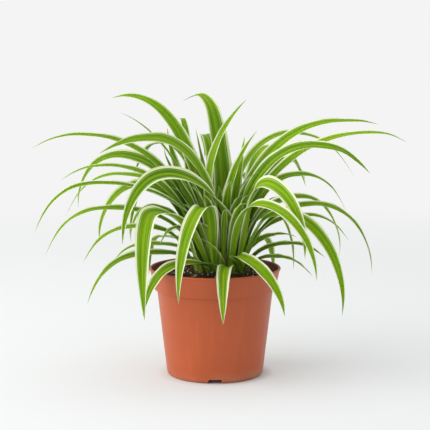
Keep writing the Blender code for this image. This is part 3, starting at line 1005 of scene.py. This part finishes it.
def pot_outline(pot):
    """The pot's section, up its inside from the floor's middle, then down its outside."""
    top = POT_HIGH.z
    rim = POT_HIGH.x
    wall, channel, disc, base = pot.wall, pot.channel, pot.disc, pot.base
    step = top - pot.band
    slope = (pot.body_top - base) / step
    roll = pot.lip / 2
    neck = rim - LIP_PROUD
    floor = channel + wall
    foot = base - pot.foot_ring
    small = 0.5 * MM
    inside = [(0.0, wall), (disc, wall), (disc + wall, floor),
              (base + slope * floor - 2 * wall, floor),
              (base + slope * floor - wall, floor + wall),
              (pot.body_top - wall, step - wall), (pot.band_foot - wall, step + wall),
              (neck - wall, top - pot.lip)]
    lip = corner((neck - wall + roll, top - roll), roll, 180, 90, 6)
    lip += corner((rim - roll, top - roll), roll, 90, -70, 10)
    band = [(neck, top - pot.lip - 0.4 * MM)]
    band += corner((pot.band_foot - small, step + small), small, 0, -90, 4)
    body = [(pot.body_top + small, step), (pot.body_top, step - small)]
    body += corner((base - HEEL, HEEL), HEEL, 0, -90, 8)
    under = [(foot, 0.0), (foot - wall, channel), (disc + wall, channel), (disc, 0.0), (0.0, 0.0)]
    return inside + lip + band + body + under


def lathe(name, outline, segments, materials):
    """Turn an outline about the Z axis into a closed mesh."""
    bm = bmesh.new()
    rings = []
    for radius, height in outline:
        points = ring_at(radius, height, segments if radius else 1)
        rings.append([bm.verts.new(point) for point in points])
    for first, second in zip(rings, rings[1:]):
        for j in range(segments):
            n = (j + 1) % segments
            corners = [first[j % len(first)], second[j % len(second)],
                       second[n % len(second)], first[n % len(first)]]
            bm.faces.new(dict.fromkeys(corners))
    bmesh.ops.recalc_face_normals(bm, faces=bm.faces)
    return object_of(bm, name, materials)


def cut(obj, cutter):
    """Take a cutter out of an object, and out of the scene."""
    modifier = obj.modifiers.new("cut", "BOOLEAN")
    modifier.operation = "DIFFERENCE"
    modifier.solver = "EXACT"
    modifier.object = cutter
    plain_mesh(obj)
    bpy.data.objects.remove(cutter, do_unlink=True)


def holes_and_notches(pot, holes=6, notches=3):
    """One cutter for the drain holes in the channel and the notches in the foot ring."""
    bm = bmesh.new()
    for k in range(holes):
        angle = 2 * pi * (k + 0.5) / holes
        made = bmesh.ops.create_cone(bm, cap_ends=True, segments=40, radius1=DRAIN_RADIUS,
                                     radius2=DRAIN_RADIUS, depth=4 * pot.channel)
        place = Vector((DRAIN_CIRCLE * cos(angle), DRAIN_CIRCLE * sin(angle), pot.channel))
        bmesh.ops.translate(bm, verts=made["verts"], vec=place)
    for k in range(notches):
        made = bmesh.ops.create_cube(bm, size=1.0)["verts"]
        for vert in made:
            high = vert.co.z > 0
            wide = (NOTCH_TOP if high else NOTCH_FOOT) / 2
            along = pot.base + 4 * MM if vert.co.x > 0 else pot.base - 1.6 * pot.foot_ring
            vert.co = (along, wide if vert.co.y > 0 else -wide, NOTCH_HEIGHT if high else -NOTCH_HEIGHT)
        turn = Matrix.Rotation(2 * pi * k / notches - pi / 2, 3, "Z")
        bmesh.ops.rotate(bm, verts=made, cent=(0, 0, 0), matrix=turn)
    return object_of(bm, "pot_cutter")


def plastic_material(settings):
    """Satin moulded plastic: fine texture, flow streaks, paler sharp edges, dust low, and painted shade
    inside the wall.
    """
    material, tree, shader = new_material("terracotta_plastic", Specular_IOR_Level=0.45)
    grain = grained(tree, settings.plastic, 0.9 * MM, 30 * MM, 0.10, 0.16)
    place = node(tree, "ShaderNodeTexCoord").outputs["Object"]
    height = node(tree, "ShaderNodeSeparateXYZ", {0: place}).outputs[2]
    flow = mottle(tree, stretched(tree, place, (1.0, 1.0, 0.06)), 140.0, 3.0)
    paler = tuple(min(1.0, c * 1.25 + 0.02) for c in settings.plastic)
    streaked = blend(tree, ramp(tree, flow, 0.5, 0.8, 0.0, 0.30), grain["Colour"], paler)
    dust = times(tree, ramp(tree, height, 12 * MM, 0.0),
                 ramp(tree, grain["Mask"], 0.4, 0.65, 0.1, 0.5))
    dusty = blend(tree, dust, streaked, settings.dust)
    # Sharp convex edges, such as the rolled lip, are painted paler than the plastic.
    edge = node(tree, "ShaderNodeNewGeometry").outputs["Pointiness"]
    with_paler_edges = blend(tree, ramp(tree, edge, 0.53, 0.62, 0.0, 0.45), dusty, paler)
    outwards = stretched(tree, place, (1.0, 1.0, 0.0))
    normal = node(tree, "ShaderNodeNewGeometry").outputs["Normal"]
    inside = node(tree, "ShaderNodeVectorMath", {0: outwards, 1: normal},
                  operation="DOT_PRODUCT").outputs["Value"]
    # Painted shade: the wall's inner face is darkened, most near the soil, where shade falls inside the
    # pot.
    painted_inner_shade = times(tree, ramp(tree, inside, -0.01, -0.04),
                 ramp(tree, height, 86 * MM, 97 * MM, 0.85, 0.45))
    with_inner_shade = blend(tree, painted_inner_shade, with_paler_edges, settings.painted_inner_shade)
    rough = ramp(tree, flow, 0.35, 0.75, 0.36, 0.50)
    dress(tree, shader, with_inner_shade, rough, grain["Height"], 0.25, 0.12 * MM)
    return material


class SPIDERPLANT_OT_pot(bpy.types.Operator):
    """Turn the nursery pot with its rolled lip, stepped band, drain holes and notched foot"""

    bl_idname = "spiderplant.pot"
    bl_label = "Nursery pot"

    def execute(self, context):
        settings = context.scene.spider_plant.pot
        pot = lathe("nursery_pot", pot_outline(settings), settings.segments,
                    [plastic_material(settings)])
        cut(pot, holes_and_notches(settings))
        pot.data.shade_smooth()
        pot.data.set_sharp_from_angle(angle=POT_SHARP)
        hand_over(pot, "pot_plastic", "pot")
        return {"FINISHED"}


# ---------------------------------------------------------------- stage

# Name, place, size, power in watts and tint of each soft light.
LIGHTS = (("key", (-1.4, -0.5, 0.95), (1.9, 1.9), 28.0, (1.0, 0.985, 0.96)),
          ("top", (0.1, 0.2, 1.3), (1.0, 1.0), 3.0, (1.0, 1.0, 1.0)))
LIT_POINT = Vector((0.0, 0.0, 0.12))
SKY_STRENGTH = 0.72
FLOOR_REACH = 40.0


class SPIDERPLANT_OT_stage(bpy.types.Operator):
    """Set up the pale floor, the soft lights and the camera"""

    bl_idname = "spiderplant.stage"
    bl_label = "Studio"

    def execute(self, context):
        settings = context.scene.spider_plant.stage
        scene = context.scene
        scene.view_settings.view_transform = "Standard"
        self.add_camera(scene, settings)
        self.add_floor(settings)
        for light in LIGHTS:
            self.add_light(*light)
        self.add_surroundings(scene, settings)
        return {"FINISHED"}

    def add_camera(self, scene, settings):
        data = bpy.data.cameras.new("camera")
        data.lens = settings.lens
        data.sensor_width = 36.0
        camera = link(bpy.data.objects.new("camera", data))
        camera.location = (0.0, -settings.distance, settings.height)
        camera.rotation_euler = (pi / 2 - settings.pitch, 0.0, 0.0)
        scene.camera = camera

    def add_floor(self, settings):
        """A wide pale floor that passes into the even backdrop far from the pot."""
        material, tree, shader = new_material("studio_floor", Roughness=0.9,
                                              Specular_IOR_Level=0.1)
        shader.inputs["Base Color"].default_value = (*settings.floor, 1)
        place = node(tree, "ShaderNodeTexCoord").outputs["Object"]
        far = node(tree, "ShaderNodeVectorMath", {0: place}, operation="LENGTH").outputs["Value"]
        glow = node(tree, "ShaderNodeEmission", {"Color": (*settings.backdrop, 1)})
        near_glow = ramp(tree, far, 44 * MM, 56 * MM, 0.0, 0.3)
        share_of_glow = maths(tree, "ADD", near_glow, ramp(tree, far, 0.45, 1.3, 0.0, 0.7))
        mix = node(tree, "ShaderNodeMixShader", {0: share_of_glow, 1: shader.outputs[0],
                                                 2: glow.outputs[0]})
        tree.links.new(mix.outputs[0], tree.nodes["Material Output"].inputs["Surface"])
        sides = ((-1, -1), (1, -1), (1, 1), (-1, 1))
        corners = [(x * FLOOR_REACH, y * FLOOR_REACH, 0) for x, y in sides]
        floor = mesh_object("studio_floor", corners, [(0, 1, 2, 3)], [material])

    def add_light(self, name, place, size, power, tint):
        data = bpy.data.lights.new(name, "AREA")
        data.shape = "RECTANGLE"
        data.size, data.size_y = size
        data.energy = power
        data.color = tint
        lamp = link(bpy.data.objects.new(name, data))
        lamp.location = place
        aim = LIT_POINT - lamp.location
        lamp.rotation_euler = aim.to_track_quat("-Z", "Y").to_euler()

    def add_surroundings(self, scene, settings):
        world = bpy.data.worlds.new("studio")
        world.use_nodes = True
        tree = world.node_tree
        shown = tree.nodes["Background"]
        shown.inputs["Color"].default_value = (*settings.backdrop, 1)
        cast = node(tree, "ShaderNodeBackground", {"Color": (1, 1, 1, 1),
                                                     "Strength": SKY_STRENGTH})
        seen = node(tree, "ShaderNodeLightPath").outputs["Is Camera Ray"]
        mix = node(tree, "ShaderNodeMixShader", {0: seen, 1: cast.outputs[0],
                                                 2: shown.outputs[0]})
        tree.links.new(mix.outputs[0], tree.nodes["World Output"].inputs["Surface"])
        scene.world = world


# ---------------------------------------------------------------- add-on


STEPS = (SPIDERPLANT_OT_stage, SPIDERPLANT_OT_pot, SPIDERPLANT_OT_soil, SPIDERPLANT_OT_crown,
         SPIDERPLANT_OT_blades, SPIDERPLANT_OT_shoot, SPIDERPLANT_OT_inner)


class SPIDERPLANT_PT_panel(bpy.types.Panel):
    """The plant's pieces and their settings"""

    bl_label = "Spider Plant"
    bl_idname = "SPIDERPLANT_PT_panel"
    bl_space_type = "VIEW_3D"
    bl_region_type = "UI"
    bl_category = "Spider Plant"

    def draw(self, context):
        settings = context.scene.spider_plant
        for group in (settings.blades, settings.pot, settings.soil, settings.stage):
            box = self.layout.box()
            for key in group.__annotations__:
                box.prop(group, key)
        for step in STEPS:
            self.layout.operator(step.bl_idname)


CLASSES = (BladeSettings, PotSettings, SoilSettings, StageSettings, PlantSettings, *STEPS,
           SPIDERPLANT_PT_panel)


def register():
    for cls in CLASSES:
        bpy.utils.register_class(cls)
    bpy.types.Scene.spider_plant = bpy.props.PointerProperty(type=PlantSettings)


def unregister():
    del bpy.types.Scene.spider_plant
    for cls in reversed(CLASSES):
        bpy.utils.unregister_class(cls)


def main():
    register()
    bpy.ops.spiderplant.stage()
    bpy.ops.spiderplant.pot()
    bpy.ops.spiderplant.soil()
    bpy.ops.spiderplant.crown()
    bpy.ops.spiderplant.blades()
    bpy.ops.spiderplant.shoot()
    bpy.ops.spiderplant.inner()


if __name__ == "__main__":
    main()
